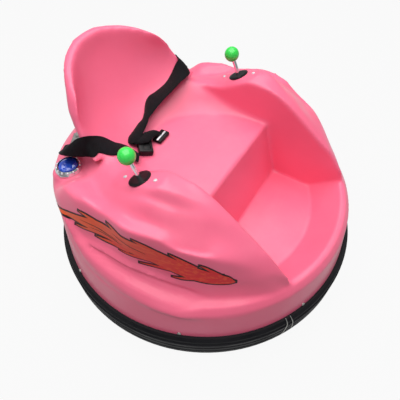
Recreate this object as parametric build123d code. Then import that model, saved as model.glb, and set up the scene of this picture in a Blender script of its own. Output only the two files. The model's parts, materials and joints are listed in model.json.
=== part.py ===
from build123d import *
import os
from math import atan2, cos, degrees, radians, sin, sqrt

# Battery bumper car for one child: a round moulded body with a dished seat back and two
# armrests, on a welded steel frame with two drive wheels and two swivel casters, inside a
# black rubber bumper ring.  Millimetres, floor at z = 0, the driver faces -Y, +X is the
# driver's left, and the z axis is the centre of the round body.

os.makedirs("parts", exist_ok=True)

# ---------------------------------------------------------------- driving dimensions
WALL = 5.0                # moulded body skin

BODY_RADIUS = 374.5       # lower edge of the skirt
SKIRT_LOW = 113.0
SKIRT_TOP_RADIUS = BODY_RADIUS - 12.5               # where the skirt turns in to the rim
SKIRT_TOP = 198.0
RIM_RADIUS = BODY_RADIUS - 24.5                     # top of the rolled rim
RIM_HEIGHT = 212.0

WELL_HALF_WIDTH = 165.0   # inside faces of the armrests
WELL_FLOOR = 153.0        # foot well
WELL_LIP_RADIUS = RIM_RADIUS - 12                   # the foot well's front edge on the rim
WELL_FLOOR_RADIUS = WELL_LIP_RADIUS - 58
SEAT_HEIGHT = 303.0       # seating surface
SEAT_FRONT = -80.0        # top edge of the step between seat and foot well
STEP_FOOT = -122.0        # bottom edge of that step

BACK_THICKNESS = 26.0     # seat back, front to back over both skins
BACK_START = 150.0        # foremost reach of the seat back
BACK_TOP = 507.0
OPEN_TOP = 640.0          # cuts from above start here
BEYOND = 500.0            # cuts from the side start here

BUMPER_RADIUS = BODY_RADIUS + 15.5
BUMPER_LOW = 44.0
BUMPER_INSIDE = BODY_RADIUS - 13.5                  # lies against the frame ring
LIP_RISE = 14.0           # upright lip of the rubber behind the skirt
LIP_GAP = 2.5

FRAME_TUBE = 30.0         # square steel tube
FRAME_LOW = 100.0
CROSS_TUBE_Y = 105.0
SHEET = 2.0               # battery tray
PLATE = 5.0               # motor brackets
MOUNT_PLATE = 4.0         # caster plates

WHEEL_DIAMETER = 150.0
TYRE_THICKNESS = 24.0
TYRE_WIDTH = 38.0
TRACK = 470.0             # between the middles of the drive wheels
MOTOR_DIAMETER = 82.0
MOTOR_LENGTH = 110.0
AXLE_DIAMETER = 15.0

CASTER_Y = BUMPER_INSIDE - 99                       # forward and back of the middle
CASTER_PLATE = 84.0
CASTER_WHEEL_DIAMETER = 75.0
CASTER_WIDTH = 26.0
CASTER_TRAIL = 28.0
CASTER_AXLE = 8.0
KINGPIN = 12.0

STICK_X, STICK_Y, STICK_Z = 203.2, 28.4, 384.5     # foot of the left joystick
STICK_LEAN = 24.7         # back from vertical
BALL_DIAMETER = 35.0
BALL_HEIGHT = 54.5        # ball centre above the armrest
STICK_DIAMETER = 9.6
STICK_HOLE = 24.0
WASHER_DIAMETER = 48.0
WASHER_THICKNESS = 2.5
STICK_SCREWS = 87.0       # between the two screws, fore and aft
STICK_PAD = 27.0          # half width of the flat pad under them

LAMP_RADIUS = RIM_RADIUS - 35                       # left lamp, on the rear shoulder
LAMP_ANGLE = 136.4        # round from the front
LAMP_SEAT = 315.0
LAMP_DIAMETER = 60.0
LENS_DIAMETER = 46.0

BELT_WIDTH = 50.0
BELT_THICKNESS = 2.4

BATTERY = (200.0, 166.0, 150.0)
BATTERY_Y = 40.0

FIT = 0.05                # radial clearance of a turning pin
RUN = 0.3                 # gap between faces that only just clear

AXLE_HEIGHT = WHEEL_DIAMETER / 2
FRAME_TOP = FRAME_LOW + FRAME_TUBE


def write(name, shape):
    """One sub-part to its own file."""
    shape.label = name
    export_step(shape, f"parts/{name}.step")


def write_pair(name, left):
    """A left part and its mirror image."""
    write(f"{name}_left", left)
    write(f"{name}_right", mirror(left, Plane.YZ))


def turned(*points):
    """Solid of revolution about z of a closed outline of (radius, height) points."""
    return revolve(Plane.XZ * make_face(Polyline(*points, close=True)), Axis.Z)


def tube(outer, inner, length):
    """Round tube on z, standing on z = 0."""
    return turned((inner, 0), (outer, 0), (outer, length), (inner, length))


def block(x, y, z):
    """Box from its low and high corner values on each axis."""
    size = [high - low for low, high in (x, y, z)]
    middle = [(high + low) / 2 for low, high in (x, y, z)]
    return Pos(*middle) * Box(*size)


# ---------------------------------------------------------------- moulded body
# Sections of the armrest side, cut on planes that hold the z axis.  Each row is the angle
# round from the front and then (radius as a share of the body's, height) of: shoulder, foot of
# the flank, flank, ridge, hollow, crown, well side.
SIDE_SECTIONS = (
    (28, (0.967, 198), (0.943, 211), (0.935, 214), (0.919, 226), (0.897, 238),
     (0.854, 252), (0.801, 262)),
    (34, (0.967, 197), (0.932, 208), (0.903, 230), (0.868, 258), (0.822, 278),
     (0.774, 296), (0.700, 312)),
    (42, (0.969, 195), (0.916, 202), (0.870, 248), (0.822, 288), (0.764, 312),
     (0.700, 330), (0.619, 342)),
    (54, (0.972, 194), (0.892, 203), (0.838, 254), (0.801, 322), (0.716, 340),
     (0.630, 370), (0.529, 384)),
    (66, (0.964, 200), (0.854, 232), (0.825, 280), (0.793, 344), (0.684, 352),
     (0.593, 394), (0.481, 400)),
    (80, (0.956, 206), (0.854, 248), (0.817, 292), (0.793, 362), (0.684, 356),
     (0.593, 411), (0.449, 403)),
    (95, (0.956, 208), (0.870, 254), (0.822, 292), (0.793, 357), (0.684, 354),
     (0.595, 389), (0.441, 384)),
    (110, (0.961, 214), (0.903, 258), (0.860, 285), (0.812, 334), (0.710, 336),
     (0.598, 362), (0.449, 360)),
    (127, (0.967, 222), (0.956, 262), (0.935, 285), (0.887, 309), (0.761, 318),
     (0.641, 342), (0.507, 352)),
    (145, (0.967, 226), (0.961, 266), (0.940, 289), (0.887, 308), (0.761, 315),
     (0.662, 338), (0.574, 350)),
)
DECK_ANGLES = (162, 180, 198)
CORE_RADIUS = 125.0

# Arched outline of the seat back seen from the front: (x, height) of its left half.
BACK_TOP_SIDE = (73.0, BACK_TOP - 11)
BACK_CORNER = (118.0, BACK_TOP - 27)
BACK_SIDE = (149.0, BACK_TOP - 51)
BACK_FLARE = (185.0, BACK_TOP - 107)
BACK_FOOT = (228.0, BACK_TOP - 177)

# Level sections of the dish.  Each row is the height, then the rear arc's middle y, radius and
# half chord, then the half widths at SEAT_FRONT and at SIDE_Y where the sides run forward.
SIDE_Y = 23.0
DISH_SECTIONS = (
    (SEAT_HEIGHT, 150, 131, 122, WELL_HALF_WIDTH, 147),
    (SEAT_HEIGHT + 32, 203, 172, 157, 195, 184),
    (SEAT_HEIGHT + 65, 240, 225, 190, 225, 216),
    (SEAT_HEIGHT + 97, 262, 258, 200, 240, 230),
    (BACK_TOP - 57, 289, 193, 170, 240, 225),
    (BACK_TOP - 27, 300, 164, 143, 240, 215),
    (BACK_TOP + 5, 307, 120, 105, 240, 205),
)


def side_section(angle, points, inset):
    """One section of the body's side, drawn in by the wall where inset is the wall."""
    outline = [(BODY_RADIUS - inset, SKIRT_LOW - inset)]
    outline += [(share * BODY_RADIUS - inset, z - inset) for share, z in points]
    outline += [(CORE_RADIUS, points[-1][1] - inset), (CORE_RADIUS, SKIRT_LOW - inset)]
    turn = radians(angle)
    plane = Plane(origin=(0, 0, 0), x_dir=(sin(turn), -cos(turn), 0),
                  z_dir=(-cos(turn), -sin(turn), 0))
    return plane * make_face(Polyline(*outline, close=True))


def sides(inset):
    """Both armrests with their flanks and the rear deck, from nose round to nose."""
    left = [side_section(angle, points, inset) for angle, *points in SIDE_SECTIONS]
    right = [side_section(360 - angle, points, inset) for angle, *points in reversed(SIDE_SECTIONS)]
    deck = [side_section(angle, SIDE_SECTIONS[-1][1:], inset) for angle in DECK_ANGLES]
    return loft([*left, *deck, *right])


def drum(inset):
    """Round skirt with its rolled rim, filled to the axis, and the core under the seat."""
    low = SKIRT_LOW - inset
    core = CORE_RADIUS + 2
    return turned((0, low), (BODY_RADIUS - inset, low), (SKIRT_TOP_RADIUS - inset, SKIRT_TOP),
                  (RIM_RADIUS - inset, RIM_HEIGHT - inset), (core, RIM_HEIGHT - inset),
                  (core, SEAT_HEIGHT + WALL), (0, SEAT_HEIGHT + WALL))


def level_arc(middle, radius, chord):
    """Start, middle and end of a level arc that bulges back, left end first."""
    end = middle - radius + sqrt(radius ** 2 - chord ** 2)
    return (chord, end), (0, middle), (-chord, end)


def dish(grow):
    """Space in front of the dished seat back, open to the front."""
    faces = []
    for height, middle, radius, chord, front, side in DISH_SECTIONS:
        scale = 1 + grow / radius
        left, back, right = level_arc(middle + grow, radius * scale, chord * scale)
        front += grow
        side += grow
        level = height - grow if height == SEAT_HEIGHT else height
        outline = [Line((-front, -BEYOND), (front, -BEYOND)),
                   Line((front, -BEYOND), (front, SEAT_FRONT)),
                   Line((front, SEAT_FRONT), (side, SIDE_Y)), Line((side, SIDE_Y), left),
                   ThreePointArc(left, back, right), Line(right, (-side, SIDE_Y)),
                   Line((-side, SIDE_Y), (-front, SEAT_FRONT)),
                   Line((-front, SEAT_FRONT), (-front, -BEYOND))]
        faces.append(Pos(0, 0, level) * make_face(outline))
    return loft(faces)


def back_form(inset):
    """Everything in front of the back of the seat back."""
    faces = []
    for height, middle, radius, chord, _, _ in DISH_SECTIONS:
        reach = BACK_THICKNESS - inset
        radius += reach / 2
        left, back, right = level_arc(middle + reach, radius, chord + reach / 2)
        faces.append(Pos(0, 0, height) * make_face([
            ThreePointArc(left, back, right), Line(right, (right[0], SEAT_FRONT)),
            Line((right[0], SEAT_FRONT), (left[0], SEAT_FRONT)), Line((left[0], SEAT_FRONT), left)]))
    return loft(faces)


def seat_back(inset):
    """Seat back: the shell behind the dish, in its arched outline."""
    top = (0, BACK_TOP - inset)
    top_side, corner, side, flare, foot = [(x - inset, z - inset) for x, z in (
        BACK_TOP_SIDE, BACK_CORNER, BACK_SIDE, BACK_FLARE, BACK_FOOT)]
    base = (foot[0], RIM_HEIGHT - inset)
    left = [ThreePointArc(top_side, corner, side), ThreePointArc(side, flare, foot), Line(foot, base)]
    crown = ThreePointArc((-top_side[0], top_side[1]), top, top_side)
    arch = make_face([crown, *left, Line(base, (-base[0], base[1])), *mirror(left, Plane.YZ)])
    prism = Pos(0, BACK_START, 0) * extrude(Plane.XZ * arch, BACK_START - BODY_RADIUS)
    return (prism & back_form(inset)) - dish(inset)


def scoop(grow):
    """Space over the seat: the dish between the armrests."""
    half = WELL_HALF_WIDTH + grow
    slab = block((-half, half), (-BEYOND, BEYOND), (SEAT_HEIGHT - grow, OPEN_TOP))
    return dish(grow) & slab


def foot_well(grow):
    """Foot well: a cone that opens towards the rim, between the armrests and the step."""
    slope = (WELL_LIP_RADIUS - WELL_FLOOR_RADIUS) / (RIM_HEIGHT - WELL_FLOOR)
    low = WELL_FLOOR - grow
    cone = turned((0, low), (WELL_FLOOR_RADIUS + grow, low),
                  (WELL_FLOOR_RADIUS + grow + (OPEN_TOP - low) * slope, OPEN_TOP), (0, OPEN_TOP))
    lean = (SEAT_FRONT - STEP_FOOT) / (SEAT_HEIGHT - WELL_FLOOR)
    y_low = STEP_FOOT + grow - lean * grow
    y_high = y_low + lean * (OPEN_TOP - low)
    side = make_face(Polyline((-BEYOND, low), (y_low, low), (y_high, OPEN_TOP), (-BEYOND, OPEN_TOP),
                              close=True))
    return cone & extrude(Plane.YZ * side, WELL_HALF_WIDTH + grow, both=True)


def on_stick(shape):
    """From the joystick's own axes, z up the stick, to the left armrest."""
    return Pos(STICK_X, STICK_Y, STICK_Z) * Rot(-STICK_LEAN, 0, 0) * shape


def both(shape):
    """A left shape with its mirror image."""
    return [shape, mirror(shape, Plane.YZ)]


def stick_pad(inset):
    """Flat pad under the joystick's washer and its two screws."""
    outline = Rot(0, 0, 90) * SlotCenterToCenter(STICK_SCREWS, 2 * (STICK_PAD - inset))
    return on_stick(extrude(Pos(0, 0, -inset) * outline, -30))


def over_stick_pad(grow):
    """Space over the joystick's pad."""
    outline = Rot(0, 0, 90) * SlotCenterToCenter(STICK_SCREWS, 2 * (STICK_PAD + grow))
    return on_stick(extrude(Pos(0, 0, -grow) * outline, 40))


def at_lamp(shape):
    """From the lamp's own axes to its seat on the left shoulder."""
    return Rot(0, 0, LAMP_ANGLE) * Pos(0, -LAMP_RADIUS, LAMP_SEAT) * shape


def lamp_pad(inset):
    """Flat round seat of the lamp."""
    radius = LAMP_DIAMETER / 2 + 3 - inset
    return at_lamp(turned((0, -40), (radius, -40), (radius, -inset), (0, -inset)))


def over_lamp_pad(grow):
    """Space over the lamp's seat."""
    radius = LAMP_DIAMETER / 2 + 3 + grow
    return at_lamp(turned((0, -grow), (radius, -grow), (radius, 60), (0, 60)))


def body_form(inset):
    """Outer form of the body, or its hollow where inset is the wall."""
    form = sides(inset) + drum(inset)
    form -= both(over_stick_pad(inset)) + both(over_lamp_pad(inset))
    form += both(stick_pad(inset)) + both(lamp_pad(inset))
    form += seat_back(inset)
    return form - scoop(inset) - foot_well(inset)


def body_shell():
    """Moulded skin of the body, with its holes for the joysticks."""
    hole = on_stick(Cylinder(STICK_HOLE / 2, 60))
    return body_form(0) - body_form(WALL) - both(hole)


# ---------------------------------------------------------------- bumper
def bumper_ring():
    """Ribbed rubber extrusion bent to a ring, with a lip that stands up behind the skirt."""
    taper = (BODY_RADIUS - SKIRT_TOP_RADIUS) / (SKIRT_TOP - SKIRT_LOW)
    lip = BODY_RADIUS - WALL - LIP_GAP
    outline = [(BUMPER_INSIDE, BUMPER_LOW), (BUMPER_RADIUS - 8, BUMPER_LOW)]
    rib = (SKIRT_LOW - BUMPER_LOW - 16) / 3
    for index in range(3):
        z = BUMPER_LOW + 6 + index * rib
        outline += [(BUMPER_RADIUS, z), (BUMPER_RADIUS, z + rib - 6), (BUMPER_RADIUS - 3, z + rib - 4),
                    (BUMPER_RADIUS - 3, z + rib - 2)]
    outline += [(BUMPER_RADIUS - 4, SKIRT_LOW - 6), (BUMPER_RADIUS - 10, SKIRT_LOW), (lip, SKIRT_LOW),
                (lip - LIP_RISE * taper, SKIRT_LOW + LIP_RISE), (BUMPER_INSIDE, SKIRT_LOW + LIP_RISE)]
    return turned(*outline)


# ---------------------------------------------------------------- frame
def chassis_frame():
    """Welded ring of square tube with two cross tubes and the caster beams."""
    inner = BUMPER_INSIDE - FRAME_TUBE
    half = FRAME_TUBE / 2
    ring = Pos(0, 0, FRAME_LOW) * tube(BUMPER_INSIDE, inner, FRAME_TUBE)
    inside = Pos(0, 0, FRAME_LOW) * Cylinder(inner + 5, FRAME_TUBE,
                                             align=(Align.CENTER, Align.CENTER, Align.MIN))
    level = (FRAME_LOW, FRAME_TOP)
    bars = block((-BEYOND, BEYOND), (CROSS_TUBE_Y - half, CROSS_TUBE_Y + half), level)
    bars += block((-BEYOND, BEYOND), (-CROSS_TUBE_Y - half, -CROSS_TUBE_Y + half), level)
    bars += block((-half, half), (CROSS_TUBE_Y, BEYOND), level)
    bars += block((-half, half), (-BEYOND, -CROSS_TUBE_Y), level)
    return ring + (bars & inside)


def battery_tray():
    """Sheet tray on the cross tubes, with low walls round the battery."""
    width, depth, _ = BATTERY
    wall = SHEET + 2
    sheet = block((-width / 2 - 20, width / 2 + 20),
                  (-CROSS_TUBE_Y - 10, CROSS_TUBE_Y + FRAME_TUBE / 2 + 8),
                  (FRAME_TOP, FRAME_TOP + SHEET))
    rim = block((-width / 2 - wall, width / 2 + wall),
                (BATTERY_Y - depth / 2 - wall, BATTERY_Y + depth / 2 + wall),
                (FRAME_TOP, FRAME_TOP + 30))
    rim -= block((-width / 2 - 1, width / 2 + 1),
                 (BATTERY_Y - depth / 2 - 1, BATTERY_Y + depth / 2 + 1),
                 (FRAME_TOP + SHEET, FRAME_TOP + 40))
    return sheet + rim


def battery():
    """Sealed battery as one block."""
    width, depth, height = BATTERY
    base = FRAME_TOP + SHEET
    return block((-width / 2, width / 2), (BATTERY_Y - depth / 2, BATTERY_Y + depth / 2),
                 (base, base + height))


# ---------------------------------------------------------------- drive
MOTOR_FACE = TRACK / 2 - TYRE_WIDTH / 2 - 16       # x of the motor's flange, left side
HUB_FACE = 10.0           # from the middle of the wheel to the nut's seat


def along_x(x):
    """From a turning axis on z to the drive axle, starting at x and running to the left."""
    return Pos(x, 0, AXLE_HEIGHT) * Rot(0, 90, 0)


def motor_bracket():
    """Steel plate between the cross tubes that carries the left motor."""
    reach = CROSS_TUBE_Y - FRAME_TUBE / 2
    x = (MOTOR_FACE, MOTOR_FACE + PLATE)
    plate = block(x, (-reach, reach), (AXLE_HEIGHT - 38, FRAME_TOP))
    for side in (-1, 1):
        y = sorted((side * reach, side * (reach - PLATE)))
        plate += block((MOTOR_FACE - 40, MOTOR_FACE + PLATE), y, (FRAME_LOW, FRAME_TOP))
    return plate - along_x(MOTOR_FACE - 1) * Cylinder(AXLE_DIAMETER / 2 + 5, 60)


def drive_motor():
    """Geared motor with its flange face on the bracket, bored for its output shaft."""
    radius = MOTOR_DIAMETER / 2
    body = turned((0, 0), (radius - 6, 0), (radius, -6), (radius, -42), (radius - 5, -46),
                  (radius - 5, 6 - MOTOR_LENGTH), (radius - 11, -MOTOR_LENGTH), (0, -MOTOR_LENGTH))
    bore = turned((0, -25), (AXLE_DIAMETER / 2 + FIT, -25), (AXLE_DIAMETER / 2 + FIT, 1), (0, 1))
    return along_x(MOTOR_FACE) * (body - bore)


def drive_axle():
    """Output shaft of the motor, with the nut that holds the wheel."""
    start = -24
    nut = TRACK / 2 - MOTOR_FACE + HUB_FACE
    radius = AXLE_DIAMETER / 2
    return along_x(MOTOR_FACE) * turned((0, start), (radius, start), (radius, nut),
                                        (radius + 4, nut), (radius + 4, nut + 6), (0, nut + 6))


def drive_hub():
    """Moulded wheel hub, dished on both faces."""
    half = TYRE_WIDTH / 2 - 3
    rim = WHEEL_DIAMETER / 2 - TYRE_THICKNESS
    bore = AXLE_DIAMETER / 2
    flat = half - 7
    hub = turned((bore, -half - 2), (bore + 8, -half - 2), (bore + 9, -flat), (rim - 8, -flat),
                 (rim - 5, -half), (rim, -half), (rim, half), (rim - 5, half), (rim - 8, flat),
                 (bore + 9, flat), (bore + 8, HUB_FACE), (bore, HUB_FACE))
    for turn in range(5):
        hub -= Rot(0, 0, 72 * turn) * Pos((bore + rim) / 2 + 1, 0, 0) * Cylinder(6, TYRE_WIDTH)
    return along_x(TRACK / 2) * hub


def drive_tyre():
    """Solid rubber tyre with rounded shoulders."""
    half = TYRE_WIDTH / 2
    outer = WHEEL_DIAMETER / 2
    inner = outer - TYRE_THICKNESS
    return along_x(TRACK / 2) * turned(
        (inner, 3 - half), (inner + 6, -half), (outer - 7, -half), (outer - 2, 3 - half),
        (outer, 8 - half), (outer, half - 8), (outer - 2, half - 3), (outer - 7, half),
        (inner + 6, half), (inner, half - 3))


# ---------------------------------------------------------------- casters
RACE_DEPTH = 4.0
CROWN_TOP = FRAME_LOW - MOUNT_PLATE - RACE_DEPTH - RUN
CROWN_DEPTH = 6.0
FORK_GAP = CASTER_WIDTH / 2 + 2
FORK_LEG = 3.0


def caster_plate():
    """Square plate under the frame with the race and the kingpin, at the origin in plan."""
    half = CASTER_PLATE / 2
    plate = block((-half, half), (-half, half), (FRAME_LOW - MOUNT_PLATE, FRAME_LOW))
    pin = KINGPIN / 2
    crown_low = CROWN_TOP - CROWN_DEPTH
    plate += turned((0, FRAME_LOW - MOUNT_PLATE), (23, FRAME_LOW - MOUNT_PLATE),
                    (23, CROWN_TOP + RUN), (pin, CROWN_TOP + RUN), (pin, crown_low - RUN),
                    (pin + 3.5, crown_low - RUN), (pin + 3.5, crown_low - RUN - 4),
                    (0, crown_low - RUN - 4))
    for x in (-1, 1):
        for y in (-1, 1):
            plate -= Pos(x * (half - 10), y * (half - 10), FRAME_LOW) * Cylinder(4.25, 20)
    return plate


def caster_fork():
    """Pressed fork: a crown disc round the kingpin and two legs down to the wheel."""
    crown = turned((KINGPIN / 2 + FIT, CROWN_TOP - CROWN_DEPTH), (25, CROWN_TOP - CROWN_DEPTH),
                   (25, CROWN_TOP), (KINGPIN / 2 + FIT, CROWN_TOP))
    axle_z = CASTER_WHEEL_DIAMETER / 2
    side = make_face(Polyline((-18, CROWN_TOP), (18, CROWN_TOP), (CASTER_TRAIL + 10, axle_z + 4),
                              (CASTER_TRAIL + 6, axle_z - 8), (CASTER_TRAIL - 6, axle_z - 8),
                              (CASTER_TRAIL - 12, axle_z + 2), close=True))
    fork = crown
    for sign in (-1, 1):
        near = sign * FORK_GAP
        leg = extrude(Plane.YZ * side, sign * FORK_LEG)
        leg = Pos(near, 0, 0) * leg
        fork += leg - Pos(0, CASTER_TRAIL, axle_z) * Rot(0, 90, 0) * Cylinder(CASTER_AXLE / 2, 100)
    clear = Pos(0, 0, 0) * Cylinder(KINGPIN / 2 + FIT, 400)
    return fork - clear


def caster_axle():
    """Bolt through the fork legs."""
    head = FORK_GAP + FORK_LEG
    radius = CASTER_AXLE / 2
    bolt = turned((0, -head - 5), (radius + 2.5, -head - 5), (radius + 2.5, -head), (radius, -head),
                  (radius, head), (radius + 2.5, head), (radius + 2.5, head + 5), (0, head + 5))
    return Pos(0, CASTER_TRAIL, CASTER_WHEEL_DIAMETER / 2) * Rot(0, 90, 0) * bolt


def caster_wheel():
    """Caster wheel with a raised hub and a rounded tread."""
    half = CASTER_WIDTH / 2
    outer = CASTER_WHEEL_DIAMETER / 2
    bore = CASTER_AXLE / 2 + FIT
    wheel = turned((bore, -half), (11, -half), (12, -half + 5), (outer - 12, -half + 5),
                   (outer - 10, -half), (outer - 4, -half), (outer, -half + 6), (outer, half - 6),
                   (outer - 4, half), (outer - 10, half), (outer - 12, half - 5), (12, half - 5),
                   (11, half), (bore, half))
    return Pos(0, CASTER_TRAIL, outer) * Rot(0, 90, 0) * wheel


# ---------------------------------------------------------------- joysticks
def joystick():
    """Left joystick in four pieces: washer, shaft, ball and the switch block under the armrest."""
    radius = STICK_DIAMETER / 2
    edge = WASHER_DIAMETER / 2
    washer = turned((radius, 0), (edge, 0), (edge, 1.2), (edge - 6, WASHER_THICKNESS),
                    (radius, WASHER_THICKNESS))
    ball_low = BALL_HEIGHT - sqrt((BALL_DIAMETER / 2) ** 2 - radius ** 2)
    shaft = turned((0, -45), (radius, -45), (radius, ball_low), (0, ball_low))
    knob = Pos(0, 0, BALL_HEIGHT) * Sphere(BALL_DIAMETER / 2)
    knob -= turned((0, 0), (radius, 0), (radius, ball_low), (0, ball_low))
    half = STICK_PAD - WALL - 2
    base = block((-half, half), (-STICK_SCREWS / 2, STICK_SCREWS / 2), (-WALL - 2, -WALL))
    base += block((-half, half), (-32, 32), (-WALL - 40, -WALL - 2))
    base -= Cylinder(radius, 200)
    return [on_stick(piece) for piece in (washer, shaft, knob, base)]


# ---------------------------------------------------------------- lamps
def lamp():
    """Left lamp in two pieces: chrome bezel and faceted lens."""
    outer = LAMP_DIAMETER / 2
    lens = LENS_DIAMETER / 2
    bezel = turned((lens, 0), (outer, 0), (outer, 3), (outer - 3, 8), (lens + 1, 11), (lens, 11))
    facets = 12
    low = RegularPolygon(lens - RUN, facets)
    middle = Pos(0, 0, 10) * RegularPolygon(lens - RUN, facets)
    high = Pos(0, 0, 17) * RegularPolygon(lens * 0.45, facets)
    glass = loft([low, middle], ruled=True) + loft([middle, high], ruled=True)
    return [at_lamp(piece) for piece in (bezel, glass)]


# ---------------------------------------------------------------- lap belt
# Middle line of each strap from its anchor on the rear deck, over the side of the seat back and
# down the dish to the seat.  Each row is (x, y, z) and the direction of the strap's width.
LEFT_STRAP = (
    ((156, 270, 316), (0.48, 0.86, -0.13)),
    ((172, 260, 317), (0.48, 0.86, -0.1)),
    ((200, 240, 348), (0.13, 0.82, 0.56)),
    ((206, 212, 380), (-0.32, 0.69, 0.65)),
    ((185, 180, 406), (-0.43, 0.65, 0.63)),
    ((155, 160, 400), (-0.46, 0.49, 0.74)),
    ((124, 162, 380), (-0.62, 0.2, 0.76)),
    ((80, 168, 361), (-0.66, 0.1, 0.75)),
    ((36, 174, 351), (-0.55, 0.15, 0.82)),
    ((3, 164, 344), (-0.65, -0.25, 0.72)),
    ((-38, 152, 337), (-0.64, -0.25, 0.73)),
)
RIGHT_STRAP = (
    ((-156, 270, 316), (-0.48, 0.86, -0.13)),
    ((-172, 260, 317), (-0.48, 0.86, -0.1)),
    ((-201, 243, 342), (-0.7, 0.65, -0.2)),
    ((-216, 222, 378), (-0.85, 0.4, -0.2)),
    ((-215, 198, 406), (-0.87, 0.1, -0.3)),
    ((-193, 177, 409), (-0.85, -0.2, -0.4)),
    ((-168, 159, 393), (-0.85, -0.4, -0.3)),
    ((-149, 143, 371), (-0.85, -0.5, -0.1)),
    ((-136, 127, 351), (-0.84, -0.48, 0.2)),
    ((-130, 106, 339), (-0.72, -0.42, 0.5)),
    ((-127, 82, 334), (-0.6, -0.15, 0.8)),
)
ANCHOR_X, ANCHOR_Y, ANCHOR_Z = 152.0, 272.0, 311.8
ANCHOR_TILT = 8.5         # the rear deck falls away outwards
BUCKLE_BACK = (-54.5, 124.5, SEAT_HEIGHT + 27.5)    # middle of its back; it stands on its edge
BUCKLE_ACROSS = (-0.14, -0.28, 0.94)
BUCKLE_FACE = (-0.60, -0.73, -0.31)
BUCKLE = (44.0, 50.0, 15.0)
TONGUE = (36.0, 16.0, 2.0)


def strap(rows):
    """Flat webbing through its rows, in straight lengths that share their end faces."""
    faces = []
    for index, (place, across) in enumerate(rows):
        before = Vector(*rows[max(index - 1, 0)][0])
        after = Vector(*rows[min(index + 1, len(rows) - 1)][0])
        along = (after - before).normalized()
        across = Vector(*across)
        across = (across - along * across.dot(along)).normalized()
        plane = Plane(origin=place, x_dir=across, z_dir=along)
        faces.append(plane * Rectangle(BELT_WIDTH, BELT_THICKNESS))
    lengths = [loft([start, end], ruled=True) for start, end in zip(faces, faces[1:])]
    return lengths[0].fuse(*lengths[1:])


def belt_anchor():
    """Bolted steel plate on the left of the rear deck; the strap's end lies on its inner half."""
    plate = Pos(0, 14, 0) * Box(26, 52, 2.4, align=(Align.CENTER, Align.CENTER, Align.MIN))
    bolt = Pos(0, 30, 2.4) * extrude(RegularPolygon(7.5, 6), 5)
    outwards = degrees(atan2(ANCHOR_Y, ANCHOR_X))
    place = Pos(ANCHOR_X, ANCHOR_Y, ANCHOR_Z) * Rot(0, 0, outwards) * Rot(0, ANCHOR_TILT, 0)
    return place * (plate + bolt)


def on_seat(shape):
    """From the buckle's own axes, its mouth towards -y and its face up, to the seat."""
    return Plane(origin=BUCKLE_BACK, x_dir=BUCKLE_ACROSS, z_dir=BUCKLE_FACE) * shape


def buckle():
    """Buckle housing with its push button, and the tongue that clips into its slot."""
    width, length, height = BUCKLE
    middle = (Align.CENTER, Align.CENTER, Align.MIN)
    housing = fillet(Box(width, length, height, align=middle).edges().filter_by(Axis.Z), 6)
    housing = chamfer(housing.edges().group_by(Axis.Z)[-1], 2.5)
    housing -= Pos(0, 4, height) * Box(width - 18, 20, 3)
    tongue_width, reach, thickness = TONGUE
    slot = Pos(0, -length / 2, height / 2) * Box(tongue_width + RUN, 38, thickness + RUN)
    housing -= slot
    plate = Pos(0, -length / 2 - reach / 2 + 9, height / 2) * Box(tongue_width, reach + 18, thickness)
    plate += Pos(0, -length / 2 - reach, height / 2) * Rot(0, 90, 0) * Cylinder(2.6, tongue_width + 6)
    return [on_seat(housing), on_seat(plate)]


def main():
    write("body_shell", body_shell())
    write("bumper_ring", bumper_ring())
    write("chassis_frame", chassis_frame())
    write("battery_tray", battery_tray())
    write("battery", battery())
    write_pair("motor_bracket", motor_bracket())
    write_pair("drive_motor", drive_motor())
    write_pair("drive_axle", drive_axle())
    write_pair("drive_hub", drive_hub())
    write_pair("drive_tyre", drive_tyre())
    for end, y in (("front", -CASTER_Y), ("rear", CASTER_Y)):
        place = Pos(0, y, 0)
        write(f"{end}_caster_plate", place * caster_plate())
        write(f"{end}_caster_fork", place * caster_fork())
        write(f"{end}_caster_axle", place * caster_axle())
        write(f"{end}_caster_wheel", place * caster_wheel())
    for name, piece in zip(("washer", "shaft", "ball", "switch"), joystick()):
        write_pair(f"joystick_{name}", piece)
    for name, piece in zip(("bezel", "lens"), lamp()):
        write_pair(f"lamp_{name}", piece)
    write("lap_belt_left", strap(LEFT_STRAP))
    write("lap_belt_right", strap(RIGHT_STRAP))
    write_pair("belt_anchor", belt_anchor())
    for name, piece in zip(("housing", "tongue"), buckle()):
        write(f"buckle_{name}", piece)


main()
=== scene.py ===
import json
from math import atan2, cos, degrees, pi, radians, sin

import bpy
from mathutils import Matrix, Vector
from mathutils.bvhtree import BVHTree

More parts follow.
